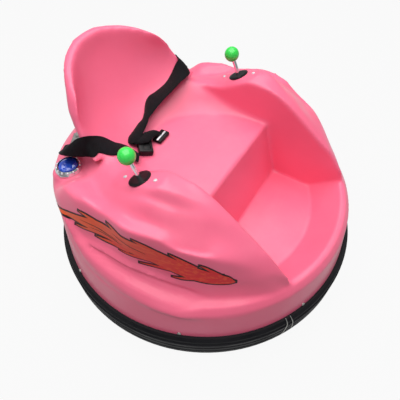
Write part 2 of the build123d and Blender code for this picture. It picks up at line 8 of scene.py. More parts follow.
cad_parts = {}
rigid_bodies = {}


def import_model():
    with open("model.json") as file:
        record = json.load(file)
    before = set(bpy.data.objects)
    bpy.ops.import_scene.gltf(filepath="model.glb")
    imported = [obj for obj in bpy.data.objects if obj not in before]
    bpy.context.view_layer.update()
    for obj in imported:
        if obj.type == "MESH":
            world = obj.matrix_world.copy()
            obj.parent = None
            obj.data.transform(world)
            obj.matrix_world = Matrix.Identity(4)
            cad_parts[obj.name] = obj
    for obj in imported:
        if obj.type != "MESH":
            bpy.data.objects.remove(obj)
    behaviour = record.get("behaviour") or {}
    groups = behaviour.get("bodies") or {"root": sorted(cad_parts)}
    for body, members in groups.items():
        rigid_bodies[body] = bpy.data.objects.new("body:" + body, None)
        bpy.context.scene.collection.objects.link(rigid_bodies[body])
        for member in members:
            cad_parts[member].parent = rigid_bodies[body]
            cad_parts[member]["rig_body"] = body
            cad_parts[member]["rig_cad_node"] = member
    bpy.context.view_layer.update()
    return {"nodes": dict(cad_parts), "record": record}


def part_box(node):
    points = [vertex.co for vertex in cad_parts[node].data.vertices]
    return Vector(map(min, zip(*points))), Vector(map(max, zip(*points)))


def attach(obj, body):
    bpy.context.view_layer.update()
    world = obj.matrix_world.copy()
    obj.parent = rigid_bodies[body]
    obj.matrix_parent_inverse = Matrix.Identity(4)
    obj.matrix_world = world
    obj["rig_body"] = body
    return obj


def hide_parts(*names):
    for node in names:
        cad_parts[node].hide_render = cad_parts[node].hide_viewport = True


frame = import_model()
nodes = frame["nodes"]

MM = 0.001
MIRROR = Matrix.Scale(-1, 4, (1, 0, 0))     # from the driver's right side to the left


# -------------- working tools
def only(piece):
    """Select just this piece and make it the active one."""
    bpy.ops.object.select_all(action="DESELECT")
    piece.select_set(True)
    bpy.context.view_layer.objects.active = piece


def current(name):
    """The piece that was just added, under its own name."""
    piece = bpy.context.active_object
    piece.name = name
    piece.data.name = name
    return piece


def pick_faces(piece, test):
    """In edit mode, select the faces whose centre and normal pass the test."""
    bpy.ops.object.mode_set(mode="OBJECT")
    mesh = piece.data
    mesh.polygons.foreach_set("select", [bool(test(f.center, f.normal)) for f in mesh.polygons])
    mesh.vertices.foreach_set("select", [False] * len(mesh.vertices))
    mesh.edges.foreach_set("select", [False] * len(mesh.edges))
    bpy.ops.object.mode_set(mode="EDIT")
    bpy.ops.mesh.select_mode(type="FACE")


def pick_points(piece, test):
    """In edit mode, select the points that pass the test."""
    bpy.ops.object.mode_set(mode="EDIT")
    bpy.ops.mesh.select_mode(type="VERT")
    bpy.ops.mesh.select_all(action="DESELECT")
    bpy.ops.object.mode_set(mode="OBJECT")
    mesh = piece.data
    mesh.vertices.foreach_set("select", [bool(test(v.co)) for v in mesh.vertices])
    bpy.ops.object.mode_set(mode="EDIT")


def modify(piece, kind, **settings):
    """Add a modifier with these settings and apply it."""
    only(piece)
    modifier = piece.modifiers.new(kind.lower(), kind)
    for name, value in settings.items():
        setattr(modifier, name, value)
    bpy.ops.object.modifier_apply(modifier=modifier.name)


def place(piece, matrix=None):
    """Put the piece's place into its mesh, with the object back at the origin."""
    only(piece)
    if matrix is not None:
        piece.matrix_world = matrix
    bpy.ops.object.transform_apply(location=True, rotation=True, scale=True)


def smooth_shade(piece, angle):
    """Shade the piece smooth, with edges sharper than the angle, in degrees, kept."""
    only(piece)
    bpy.ops.object.shade_smooth_by_angle(angle=radians(angle))


def duplicate(piece, name, matrix=None):
    """A copy with its own mesh, moved by the matrix."""
    copy = piece.copy()
    copy.data = piece.data.copy()
    copy.name = copy.data.name = name
    bpy.context.scene.collection.objects.link(copy)
    if matrix is not None:
        copy.data.transform(matrix)
        if matrix.determinant() < 0:
            copy.data.flip_normals()
    return copy


def done(piece, body, material):
    """Give a finished piece its body and its finish."""
    piece.data.materials.clear()
    piece.data.materials.append(material)
    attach(piece, body)
    return piece


def middle(node):
    """Middle of a CAD node's box."""
    low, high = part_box(node)
    return (low + high) / 2


def stick_axis(side):
    """Foot of a joystick on the body, and the way that the stick points."""
    foot = middle(f"joystick_washer_{side}")
    return foot, (middle(f"joystick_ball_{side}") - foot).normalized()


def facing(where, normal, turn=0.0):
    """Matrix that stands a piece on a surface, turned about the normal."""
    stand = normal.to_track_quat("Z", "Y").to_matrix().to_4x4()
    return Matrix.Translation(where) @ stand @ Matrix.Rotation(turn, 4, "Z")


def surface_of(piece):
    """The piece's surface as it is now, for casting rays at it."""
    return BVHTree.FromPolygons([v.co for v in piece.data.vertices],
                                [p.vertices for p in piece.data.polygons])


def ramp(value, low, high):
    """Smooth step: 0 up to low, 1 from high on."""
    t = max(0.0, min(1.0, (value - low) / (high - low)))
    return t * t * (3 - 2 * t)


def window(value, rise, fall):
    """Smooth window: fades in over the rise, and out over the fall."""
    return ramp(value, *rise) * (1 - ramp(value, *fall))


def bearing(co):
    """Angle round from the front, 0 to 180 degrees on either side."""
    return abs(degrees(atan2(co.x, -co.y)))


# -------------- camera, floor and light
CAMERA_RIGHT = (0.52548626, -0.85079878, -0.00237286)
CAMERA_UP = (0.67227761, 0.41351212, 0.61404441)
CAMERA_BACK = (-0.52144703, -0.32426712, 0.78926791)
CAMERA_PLACE = (-0.54175, -0.31936, 0.9219)
LENS, SENSOR = 33.09, 36.0                  # millimetres
SKY_TINT, SKY_STRENGTH = (0.93, 0.96, 1.0, 1), 0.3
LIGHTS = (  # name, place, size, watts, tint
    ("key_light", (0.1, 0.2, 2.3), 2.6, 70, (1.0, 0.99, 0.98)),
    ("fill_light", (-2.2, -1.0, 2.0), 2.2, 4, (0.97, 0.98, 1.0)),
)
LIT_POINT = Vector((0, 0, 0.25))            # where the lights aim
FLOOR_TONE = (0.28, 0.28, 0.28, 1)
# Share of a plain white glow that each kind of ray gets from the floor.
FLOOR_GLOW = {"Is Camera Ray": 0.93, "Is Glossy Ray": 0.6, "Is Transmission Ray": 0.9}


def set_camera():
    bpy.ops.object.camera_add()
    camera = current("camera")
    columns = zip(CAMERA_RIGHT, CAMERA_UP, CAMERA_BACK, CAMERA_PLACE)
    camera.matrix_world = Matrix([*columns, (0, 0, 0, 1)])
    camera.data.sensor_width = SENSOR
    camera.data.lens = LENS
    camera.data.clip_start = 0.02
    bpy.context.scene.camera = camera


def mix_shaders(tree, share, first, second, out):
    """Mix two shader outputs by a share and link the result to the tree's output node."""
    mix = tree.nodes.new("ShaderNodeMixShader")
    tree.links.new(share, mix.inputs["Fac"])
    tree.links.new(first, mix.inputs[1])
    tree.links.new(second, mix.inputs[2])
    tree.links.new(mix.outputs["Shader"], tree.nodes[out].inputs["Surface"])


def set_light():
    """Soft daylight from above and a weak fill; the camera itself sees plain white behind."""
    scene = bpy.context.scene
    scene.view_settings.view_transform = "Standard"
    world = bpy.data.worlds.new("studio")
    scene.world = world
    world.use_nodes = True
    tree = world.node_tree
    sky = tree.nodes["Background"]
    sky.inputs["Color"].default_value = SKY_TINT
    sky.inputs["Strength"].default_value = SKY_STRENGTH
    backdrop = tree.nodes.new("ShaderNodeBackground")
    backdrop.inputs["Color"].default_value = (1, 1, 1, 1)
    path = tree.nodes.new("ShaderNodeLightPath")
    mix_shaders(tree, path.outputs["Is Camera Ray"], sky.outputs["Background"],
                backdrop.outputs["Background"], "World Output")
    for name, where, size, watts, tint in LIGHTS:
        bpy.ops.object.light_add(type="AREA", location=where)
        light = current(name)
        light.data.size = size
        light.data.energy = watts
        light.data.color = tint
        light.rotation_euler = (LIT_POINT - Vector(where)).to_track_quat("-Z", "Y").to_euler()


def set_floor():
    """Pale floor that glows as much as it needs to look white round the object."""
    bpy.ops.mesh.primitive_plane_add(size=14)
    floor = current("floor")
    material = bpy.data.materials.new("pale_floor")
    material.use_nodes = True
    tree = material.node_tree
    shader = tree.nodes["Principled BSDF"]
    shader.inputs["Base Color"].default_value = FLOOR_TONE
    shader.inputs["Roughness"].default_value = 0.8
    shader.inputs["Specular IOR Level"].default_value = 0.1
    glow = tree.nodes.new("ShaderNodeEmission")
    glow.inputs["Color"].default_value = (1, 1, 1, 1)
    path = tree.nodes.new("ShaderNodeLightPath")
    share = 0.0
    for ray, part in FLOOR_GLOW.items():
        share = calculate(tree, "ADD", calculate(tree, "MULTIPLY", path.outputs[ray], part),
                          share, clamp=True)
    mix_shaders(tree, share, shader.outputs["BSDF"], glow.outputs["Emission"], "Material Output")
    floor.data.materials.append(material)


# -------------- finishes
def add_node(tree, kind, **settings):
    """Add a node with these properties."""
    made = tree.nodes.new(kind)
    for name, value in settings.items():
        setattr(made, name, value)
    return made


def calculate(tree, operation, first, second=0.0, clamp=False):
    """A Math node on two sockets or numbers; gives its output."""
    made = add_node(tree, "ShaderNodeMath", operation=operation, use_clamp=clamp)
    for index, value in enumerate((first, second)):
        if isinstance(value, (int, float)):
            made.inputs[index].default_value = value
        else:
            tree.links.new(value, made.inputs[index])
    return made.outputs[0]


def new_group(name, output, **inputs):
    """A node group of number sockets; gives its tree, input node and output node."""
    tree = bpy.data.node_groups.new(name, "ShaderNodeTree")
    for socket, value in inputs.items():
        made = tree.interface.new_socket(name=socket.replace("_", " "), in_out="INPUT",
                                         socket_type="NodeSocketFloat")
        made.default_value = value
    tree.interface.new_socket(name=output, in_out="OUTPUT", socket_type="NodeSocketFloat")
    return tree, tree.nodes.new("NodeGroupInput"), tree.nodes.new("NodeGroupOutput")


def noise(tree, scale, detail=3.0, roughness=0.55, where=None):
    """Noise on the object's own coordinates; scale may be a socket."""
    made = add_node(tree, "ShaderNodeTexNoise")
    made.inputs["Detail"].default_value = detail
    made.inputs["Roughness"].default_value = roughness
    if where is None:
        where = tree.nodes.new("ShaderNodeTexCoord").outputs["Object"]
    tree.links.new(where, made.inputs["Vector"])
    if isinstance(scale, (int, float)):
        made.inputs["Scale"].default_value = scale
    else:
        tree.links.new(scale, made.inputs["Scale"])
    return made.outputs["Fac"]


def spread(tree, value, low, high):
    """Stretch low..high of a value to 0..1, smoothly."""
    made = add_node(tree, "ShaderNodeMapRange", interpolation_type="SMOOTHSTEP")
    tree.links.new(value, made.inputs["Value"])
    made.inputs["From Min"].default_value = low
    made.inputs["From Max"].default_value = high
    return made.outputs["Result"]


def edge_wear_group():
    """Rubbed edges: convex places, broken up by noise."""
    tree, come, go = new_group("edge_wear", "Mask", Amount=0.5, Scale=60.0)
    surface = tree.nodes.new("ShaderNodeNewGeometry")
    convex = spread(tree, surface.outputs["Pointiness"], 0.52, 0.6)
    broken = spread(tree, noise(tree, come.outputs["Scale"]), 0.35, 0.7)
    mask = calculate(tree, "MULTIPLY", convex, broken)
    mask = calculate(tree, "MULTIPLY", mask, come.outputs["Amount"], clamp=True)
    tree.links.new(mask, go.inputs["Mask"])
    return tree


def grain_group():
    """Fine and coarse unevenness of a surface, as a height."""
    tree, come, go = new_group("grain", "Height", Fine_scale=900.0, Coarse_scale=60.0,
                               Coarse_share=0.4)
    fine = noise(tree, come.outputs["Fine scale"], 2.0)
    coarse = noise(tree, come.outputs["Coarse scale"], 2.0)
    coarse = calculate(tree, "MULTIPLY", coarse, come.outputs["Coarse share"])
    tree.links.new(calculate(tree, "ADD", fine, coarse), go.inputs["Height"])
    return tree


def dust_group():
    """Dust that settles on what faces up, in soft patches."""
    tree, come, go = new_group("settled_dust", "Mask", Amount=0.3, Scale=9.0)
    parts = tree.nodes.new("ShaderNodeSeparateXYZ")
    tree.links.new(tree.nodes.new("ShaderNodeNewGeometry").outputs["Normal"], parts.inputs[0])
    up = spread(tree, parts.outputs["Z"], 0.35, 0.98)
    patches = spread(tree, noise(tree, come.outputs["Scale"], 6.0, 0.65), 0.38, 0.72)
    mask = calculate(tree, "MULTIPLY", up, patches)
    mask = calculate(tree, "MULTIPLY", mask, come.outputs["Amount"], clamp=True)
    tree.links.new(mask, go.inputs["Mask"])
    return tree


def weave_group():
    """Woven webbing on the strap's own map, u along and v across, in metres."""
    tree, come, go = new_group("webbing_weave", "Height", Threads=600.0)
    parts = tree.nodes.new("ShaderNodeSeparateXYZ")
    tree.links.new(tree.nodes.new("ShaderNodeTexCoord").outputs["UV"], parts.inputs[0])
    turn = calculate(tree, "MULTIPLY", come.outputs["Threads"], 2 * pi)
    along = calculate(tree, "SINE", calculate(tree, "MULTIPLY", parts.outputs["X"], turn))
    across = calculate(tree, "SINE", calculate(tree, "MULTIPLY", parts.outputs["Y"], turn))
    tree.links.new(calculate(tree, "MULTIPLY", along, across), go.inputs["Height"])
    return tree


WEAR = edge_wear_group()
GRAIN = grain_group()
DUST = dust_group()
WEAVE = weave_group()


def use_group(tree, group, **values):
    """A group's node, with values for its inputs."""
    made = tree.nodes.new("ShaderNodeGroup")
    made.node_tree = group
    for name, value in values.items():
        made.inputs[name.replace("_", " ")].default_value = value
    return made


def blend_colour(tree, share, first, second):
    """Mix two colours, each a socket or a value, by a share."""
    made = add_node(tree, "ShaderNodeMix", data_type="RGBA")
    tree.links.new(share, made.inputs[0])
    for index, colour in ((6, first), (7, second)):
        if isinstance(colour, tuple):
            made.inputs[index].default_value = (*colour, 1)
        else:
            tree.links.new(colour, made.inputs[index])
    return made.outputs[2]


def finish(name, colour, second=None, patch=12.0, roughness=(0.4, 0.5), metallic=0.0, wear=0.4,
           wear_colour=(0.6, 0.6, 0.6), wear_scale=60.0, dust=0.25, dust_colour=(0.55, 0.52, 0.48),
           fine=900.0, coarse=60.0, bump=0.1, depth=0.0003, **fixed):
    """A procedural finish: two shades in patches, rubbed edges, settled dust and a fine grain.

    fixed gives constant values straight to the shader's own sockets.
    """
    material = bpy.data.materials.new(name)
    material.use_nodes = True
    tree = material.node_tree
    shader = tree.nodes["Principled BSDF"]
    patches = spread(tree, noise(tree, patch, 4.0), 0.3, 0.7)
    base = blend_colour(tree, patches, colour, second or tuple(0.85 * c for c in colour))
    worn = use_group(tree, WEAR, Amount=wear, Scale=wear_scale).outputs["Mask"]
    base = blend_colour(tree, worn, base, wear_colour)
    dusty = use_group(tree, DUST, Amount=dust).outputs["Mask"]
    base = blend_colour(tree, dusty, base, dust_colour)
    tree.links.new(base, shader.inputs["Base Color"])
    low, high = roughness
    rough = calculate(tree, "MULTIPLY_ADD", patches, high - low)
    rough.node.inputs[2].default_value = low
    dull = calculate(tree, "MULTIPLY", dusty, 0.4)
    tree.links.new(calculate(tree, "ADD", rough, dull, clamp=True), shader.inputs["Roughness"])
    grain = use_group(tree, GRAIN, Fine_scale=fine, Coarse_scale=coarse)
    dent = add_node(tree, "ShaderNodeBump")
    dent.inputs["Strength"].default_value = bump
    dent.inputs["Distance"].default_value = depth
    tree.links.new(grain.outputs["Height"], dent.inputs["Height"])
    tree.links.new(dent.outputs["Normal"], shader.inputs["Normal"])
    shader.inputs["Metallic"].default_value = metallic
    for socket, value in fixed.items():
        shader.inputs[socket.replace("_", " ")].default_value = value
    return material


FINISHES = {
    "body": finish("pink_gelcoat", (0.95, 0.165, 0.285), (0.93, 0.15, 0.262), 6.0, (0.34, 0.46),
                   wear=0.22, wear_colour=(0.95, 0.42, 0.52), dust=0.07,
                   dust_colour=(0.9, 0.5, 0.55), fine=300.0, coarse=35.0, bump=0.05,
                   Coat_Weight=0.22, Coat_Roughness=0.14, Specular_IOR_Level=0.3),
    "bumper": finish("black_rubber", (0.006, 0.006, 0.008), (0.011, 0.011, 0.013), 14.0,
                     (0.45, 0.62), wear=0.3, wear_colour=(0.03, 0.03, 0.03), dust=0.1,
                     dust_colour=(0.05, 0.045, 0.045), Specular_IOR_Level=0.14),
    "frame": finish("black_powder_coat", (0.02, 0.02, 0.022), roughness=(0.45, 0.6),
                    wear_colour=(0.3, 0.3, 0.3), fine=1500.0, bump=0.25),
    "motor": finish("grey_enamel", (0.06, 0.065, 0.07), roughness=(0.3, 0.45), wear=0.5,
                    wear_colour=(0.35, 0.35, 0.36)),
    "battery_case": finish("dark_moulded_case", (0.035, 0.035, 0.04), roughness=(0.45, 0.6),
                           wear=0.3, wear_colour=(0.12, 0.12, 0.12), fine=700.0, bump=0.3),
    "steel": finish("turned_steel", (0.55, 0.55, 0.56), (0.42, 0.42, 0.43), 40.0, (0.18, 0.34),
                    metallic=1.0, wear=0.3, wear_colour=(0.75, 0.75, 0.75), dust=0.12),
    "zinc": finish("zinc_plate", (0.5, 0.5, 0.47), (0.36, 0.36, 0.33), 90.0, (0.3, 0.5),
                   metallic=1.0, wear=0.5, wear_colour=(0.7, 0.7, 0.7), dust=0.25, fine=2200.0),
    "chrome": finish("bright_chrome", (0.78, 0.78, 0.8), (0.7, 0.7, 0.72), 30.0, (0.06, 0.14),
                     metallic=1.0, wear=0.1, dust=0.05, bump=0.03),
    "hub": finish("grey_nylon", (0.34, 0.34, 0.33), roughness=(0.4, 0.55),
                  wear_colour=(0.55, 0.55, 0.53)),
    "tyre": finish("solid_tyre", (0.018, 0.018, 0.02), (0.03, 0.03, 0.03), 20.0, (0.6, 0.8),
                   wear=0.7, wear_colour=(0.12, 0.12, 0.12), dust=0.4, fine=500.0, bump=0.4),
    "caster_tread": finish("grey_caster_wheel", (0.05, 0.05, 0.055), roughness=(0.45, 0.6),
                           wear=0.5, wear_colour=(0.2, 0.2, 0.2)),
    "washer": finish("black_washer", (0.006, 0.006, 0.007), roughness=(0.3, 0.42), wear=0.3,
                     wear_colour=(0.05, 0.05, 0.05), dust=0.08, dust_colour=(0.05, 0.05, 0.05),
                     Specular_IOR_Level=0.2),
    "knob": finish("green_ball", (0.035, 0.68, 0.075), (0.045, 0.74, 0.095), 30.0, (0.22, 0.32),
                   wear=0.1, wear_colour=(0.4, 0.9, 0.4), dust=0.04, bump=0.02, Coat_Weight=0.3,
                   Coat_Roughness=0.1),
    "buckle": finish("black_buckle", (0.005, 0.004, 0.005), roughness=(0.3, 0.45), wear=0.5,
                     wear_colour=(0.06, 0.06, 0.06), fine=1600.0, bump=0.2, dust=0.06,
                     dust_colour=(0.05, 0.05, 0.05), Specular_IOR_Level=0.25),
    "stud": finish("silvered_stud", (0.82, 0.83, 0.86), (0.72, 0.74, 0.78), 40.0, (0.25, 0.35),
                   metallic=0.35, wear=0.1, dust=0.05, bump=0.03, Coat_Weight=0.6),
    "lens": finish("blue_lens", (0.006, 0.04, 0.46), (0.02, 0.10, 0.72), 60.0, (0.05, 0.12),
                   wear=0.2, wear_colour=(0.3, 0.45, 0.9), dust=0.05, bump=0.02, Coat_Weight=1.0,
                   Coat_Roughness=0.03),
    "flame_black": finish("flame_black", (0.012, 0.008, 0.008), roughness=(0.3, 0.4), wear=0.1,
                          wear_colour=(0.05, 0.03, 0.03), dust=0.02, bump=0.03,
                          Specular_IOR_Level=0.2),
}
# Slots whose finish has another name; the rest have their finish under their own.
SLOT_FINISH = {"tray": "frame", "bracket": "frame", "axle": "steel", "stick": "chrome",
               "switch": "buckle", "bezel": "chrome", "tongue": "chrome"}


def dress_nodes():
    """Each CAD node gets the finish of its slot."""
    slots = {part["node"]: part["material_slot"] for part in frame["record"]["subparts"]}
    for name, node in nodes.items():
        slot = slots[name]
        node.data.materials.clear()
        node.data.materials.append(FINISHES[SLOT_FINISH.get(slot, slot)])
        smooth_shade(node, 30)


# -------------- moulded body
SKIRT_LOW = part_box("body_shell")[0].z
SKIRT_RUN = 12 * MM         # how far the skirt runs on below while the skin is remeshed
STICK_HOLE = 12.3 * MM      # just over the radius of the joysticks' holes
VOXEL = 5.2 * MM
KEPT_FACES = 0.88           # leaves the skin and its inner wall under 200,000 triangles
SKIN_WALL = 4.6 * MM


def moulded_skin():
    """The outer surface of the CAD body, remeshed evenly and closed below."""
    skin = duplicate(nodes["body_shell"], "body_skin")
    skin.parent = None
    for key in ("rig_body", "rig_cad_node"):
        if key in skin:
            del skin[key]
    only(skin)
    bpy.ops.object.mode_set(mode="EDIT")
    bpy.ops.mesh.select_mode(type="VERT")
    bpy.ops.mesh.select_all(action="SELECT")
    bpy.ops.mesh.remove_doubles(threshold=0.01 * MM)
    bpy.ops.mesh.customdata_custom_splitnormals_clear()
    sticks = [stick_axis(side) for side in ("left", "right")]
    low_edge = SKIRT_LOW + 0.2 * MM

    def hole_wall(centre, normal):
        return any(((centre - foot) - (centre - foot).dot(axis) * axis).length < STICK_HOLE
                   and abs(normal.dot(axis)) < 0.3 for foot, axis in sticks)

    # Without the skirt's edge and the holes' walls, the outer surface is on its own.
    pick_faces(skin, lambda c, n: (c.z < low_edge and n.z < -0.9) or hole_wall(c, n))
    bpy.ops.mesh.delete(type="FACE")
    widest = max(skin.data.vertices, key=lambda v: v.co.x).co.copy()
    pick_points(skin, lambda co: (co - widest).length < 0.5 * MM)
    bpy.ops.mesh.select_linked()
    bpy.ops.mesh.select_all(action="INVERT")
    bpy.ops.mesh.delete(type="VERT")
    # The skirt runs on a little and is closed, so that it can be remeshed and then cut off clean.
    pick_points(skin, lambda co: co.z < low_edge)
    bpy.ops.mesh.select_mode(type="EDGE")
    bpy.ops.mesh.extrude_region_move(TRANSFORM_OT_translate={"value": (0, 0, -SKIRT_RUN)})
    bpy.ops.mesh.edge_face_add()
    bpy.ops.mesh.select_all(action="SELECT")
    bpy.ops.mesh.fill_holes(sides=0)
    bpy.ops.object.mode_set(mode="OBJECT")
    skin.data.remesh_voxel_size = VOXEL
    skin.data.remesh_voxel_adaptivity = 0
    bpy.ops.object.voxel_remesh()
    return skin


def smooth_where(skin, iterations, share):
    """Smooth the skin by the weight, up to 1, that share gives each point."""
    group = skin.vertex_groups.new(name="smoothed")
    for vertex in skin.data.vertices:
        weight = share(vertex.co)
        if weight > 0.01:
            group.add([vertex.index], min(weight, 1.0), "REPLACE")
    modify(skin, "SMOOTH", factor=0.5, iterations=iterations, vertex_group=group.name)
    skin.vertex_groups.clear()


NO_END = (9.0, 10.0)        # a window that doesn't fade out
# Where the mould differs from the CAD's shell: windows of the angle from the front (degrees) and
# the distance from the axis (metres), the height where it fades in (metres), and how far the
# points move up and outwards (millimetres).
SWELLS = (
    # shoulders in front of the lamps
    (((101, 117), (123, 131.5)), ((0.262, 0.305), NO_END), (0.265, 0.305), 24, 0),
    # seat back's lower corners
    (((121, 126), (133, 140)), ((0.222, 0.245), (0.272, 0.285)), (0.345, 0.372), -20, 0),
    # sides beside the lamps
    (((110, 124), (148, 168)), ((0.334, 0.350), NO_END), (0.25, 0.30), 0, 8),
    # outsides of the armrests' noses
    (((26, 36), (52, 66)), ((0.270, 0.300), NO_END), (0.235, 0.265), 0, 4.5),
)


def swell(skin):
    """Move the upper body's points as SWELLS says."""
    for vertex in skin.data.vertices:
        co = vertex.co
        if co.z < 0.23:
            continue
        reach, angle = co.xy.length, bearing(co)
        rise = push = 0.0
        for turn, distance, height, up, outwards in SWELLS:
            share = window(angle, *turn) * window(reach, *distance) * ramp(co.z, *height)
            rise += share * up
            push += share * outwards
        out = Vector((co.x, co.y, 0)) / max(reach, MM)
        vertex.co = co + Vector((0, 0, rise * MM)) + out * MM * push


def soften(skin):
    """Round the armrests, the dish and the seat back; the skirt and foot well stay crisper."""
    modify(skin, "SMOOTH", factor=0.5, iterations=4)
    # the whole upper body, the armrests, the seat back, and the seat back's lower corners
    smooth_where(skin, 10, lambda co: ramp(co.z, 0.205, 0.235))
    smooth_where(skin, 8, lambda co: ramp(co.z, 0.21, 0.26) * ramp(abs(co.x), 0.15, 0.2))
    smooth_where(skin, 24, lambda co: ramp(co.z, 0.33, 0.38) * ramp(co.y, 0.1, 0.16))
    smooth_where(skin, 60, lambda co: ramp(abs(co.x), 0.13, 0.16) * ramp(co.y, 0.115, 0.145)
                 * window(co.z, (0.335, 0.35), (0.41, 0.435)))


# Heights of the flank's features, by the angle round from the front: (degrees, millimetres).
LEDGE = ((60, 226), (66, 238), (74, 248), (82, 255), (90, 259), (98, 259), (106, 253), (114, 244))
SHOULDER = ((58, 206), (66, 215), (73, 221), (80, 227), (88, 233), (97, 237), (106, 243),
            (112, 256), (118, 276))
# How far they move the skin, millimetres.
WALL_FILL, LEDGE_IN, SHOULDER_OUT, HOLLOW_IN = 17, 6.5, 9, 6


def follow(line, angle):
    """Height of a line of (angle, height) points at an angle."""
    for (a, low), (b, high) in zip(line, line[1:]):
        if angle <= b:
            return low + (high - low) * max(0.0, min(1.0, (angle - a) / (b - a)))
    return line[-1][1]


def carve(skin):
    """The flank's relief: a steep wall over the shelf, a thin ledge, and the skirt's shoulder."""
    for vertex in skin.data.vertices:
        co = vertex.co
        reach, height = co.xy.length / MM, co.z / MM
        if height < 150 or reach < 225:
            continue
        angle = bearing(co)
        wall = (ramp(angle, 67, 76) * max(0, min(1, (118 - angle) / 32))
                * window(reach, (231, 251), (256, 271)) * ramp(height, 322, 336))
        slope = (window(angle, (53, 61), (66, 77)) * window(reach, (228, 246), (290, 303))
                 * ramp(height, 306, 320))
        even = 375 + 0.85 * (angle - 55) - 0.92 * (reach - 235)     # the even slope's height
        lift = WALL_FILL * wall + 0.85 * slope * (even - height)
        shift = 0.0
        if reach > 296:
            ledge, shoulder = follow(LEDGE, angle), follow(SHOULDER, angle)
            run = window(angle, (64, 80), (106, 116))
            along = window(angle, (58, 68), (116, 126))
            set_in = window(height, (ledge - 3, ledge + 7), (ledge + 12, ledge + 42))
            below = window(height, (shoulder - 36, shoulder - 8), (shoulder - 2, shoulder + 6))
            hollow = window(height, (shoulder, shoulder + 7), (ledge - 10, ledge))
            shift = along * (SHOULDER_OUT * below - HOLLOW_IN * hollow) - LEDGE_IN * run * set_in
        out = Vector((co.x, co.y, 0)) / co.xy.length
        vertex.co = co + Vector((0, 0, lift * MM)) + out * MM * shift
    smooth_where(skin, 22, lambda co: ramp(co.z, 0.325, 0.34) * ramp(abs(co.x), 0.17, 0.2)
                 * window(co.xy.length, (0.215, 0.235), (0.272, 0.285))
                 * (1 - ramp(co.y, 0.05, 0.1)))


def finish_skin(skin):
    """Cut the skirt off clean and give the skin its inner wall; gives its outer surface."""
    only(skin)
    bpy.ops.object.mode_set(mode="EDIT")
    bpy.ops.mesh.select_all(action="SELECT")
    bpy.ops.mesh.bisect(plane_co=(0, 0, SKIRT_LOW), plane_no=(0, 0, 1), clear_inner=True)
    bpy.ops.object.mode_set(mode="OBJECT")
    modify(skin, "DECIMATE", ratio=KEPT_FACES)
    surface = surface_of(skin)
    modify(skin, "SOLIDIFY", thickness=SKIN_WALL, offset=-1, use_even_offset=False,
           use_quality_normals=True)
    smooth_shade(skin, 50)
    return surface


# -------------- on the body's surface
FAR = 0.6                   # metres: a place well outside the body


def on_flank(angle, height):
    """Place and normal of the body's side at an angle round from the front, driver's right."""
    turn = radians(angle)
    outwards = Vector((-sin(turn), -cos(turn), 0))
    start = outwards * FAR + Vector((0, 0, height))
    where, normal, _, _ = outside.ray_cast(start, -outwards)
    return where, normal if normal.dot(outwards) > 0 else -normal


def between(rows, t):
    """Smooth curve through rows of numbers, t from 0 to 1, by Catmull and Rom's rule."""
    spans = len(rows) - 1
    index = min(int(t * spans), spans - 1)
    u = t * spans - index
    before, start, end, after = (rows[min(max(index + k, 0), spans)] for k in (-1, 0, 1, 2))
    return [0.5 * (2 * b + (c - a) * u + (2 * a - 5 * b + 4 * c - d) * u ** 2
                   + (3 * b - a - 3 * c + d) * u ** 3)
            for a, b, c, d in zip(before, start, end, after)]


def grid(name, along, across):
    """A flat grid to be laid out, with its points numbered along and then across."""
    bpy.ops.mesh.primitive_grid_add(x_subdivisions=along, y_subdivisions=across, size=1)
    return current(name)


# -------------- flame on the flanks
# Each lick runs from its tail to its root: (angle round from the front, height, half width), in
# degrees and millimetres. The last one is the flame's body.
FLAME = (
    ((113, 318, 0.3), (110, 317, 2.6), (106, 314, 5.0), (101, 311, 6.5), (96, 308, 5.0)),
    ((99, 335, 0.3), (97, 333, 2.6), (94, 329, 5.0), (90, 323, 6.0), (86, 317, 5.0)),
    ((86, 339, 0.3), (84, 335, 2.6), (81, 329, 5.0), (77, 321, 6.0), (73, 313, 5.0)),
    ((72, 326, 0.3), (70, 320, 2.6), (68, 313, 5.0), (65, 304, 6.0), (62, 296, 5.0)),
    ((61, 306, 0.3), (59, 300, 2.6), (57, 292, 4.5), (55, 284, 5.0), (53, 277, 4.0)),
    ((114, 276, 0.3), (110, 280, 2.6), (106, 286, 4.5), (102, 291, 5.5), (97, 296, 5.0)),
    ((105, 274, 0.3), (101, 278, 2.6), (97, 284, 4.5), (93, 290, 5.5), (88, 295, 5.0)),
    ((93, 280, 0.3), (90, 283, 2.4), (86, 288, 4.5), (82, 292, 5.0), (78, 295, 5.0)),
    ((84, 271, 0.3), (80, 274, 2.6), (76, 279, 4.5), (72, 283, 5.0), (67, 286, 5.0)),
    ((71, 260, 0.3), (68, 262, 2.4), (64, 266, 4.0), (60, 270, 5.0), (56, 271, 4.0)),
    ((128, 266, 0.4), (122, 279, 3.5), (115, 292, 7.5), (107, 301, 14), (98, 308, 18),
     (88, 313, 19), (79, 309, 20), (71, 297, 20), (64, 283, 19), (57, 272, 16.5), (51, 264, 11),
     (48.5, 259, 1)),
)
STREAKS = (
    ((112, 297, 0.2), (106, 301, 0.8), (99, 304, 0.9), (93, 307, 0.3)),
    ((108, 291, 0.2), (102, 297, 0.8), (96, 302, 0.8), (91, 304, 0.3)),
    ((96, 318, 0.2), (91, 317, 0.8), (86, 313, 0.8), (81, 308, 0.3)),
)
OUTLINE = 3.8               # width of the black line round each lick, millimetres
DECALS = (  # name, licks, widened by, lifted off the skin by (millimetres), finish
    ("flame_edge", FLAME, OUTLINE, 0.35, "flame_black"),
    ("flame_fill", FLAME, 0.0, 0.75, "flame_red"),
    ("flame_streak", STREAKS, 0.0, 1.15, "flame_black"),
)
LICK_STEP = 0.02            # more lift for each lick, so that no two lie in one plane
FILM = 0.08 * MM            # the decal's thickness
MM_PER_DEGREE = 5.4         # along the flank


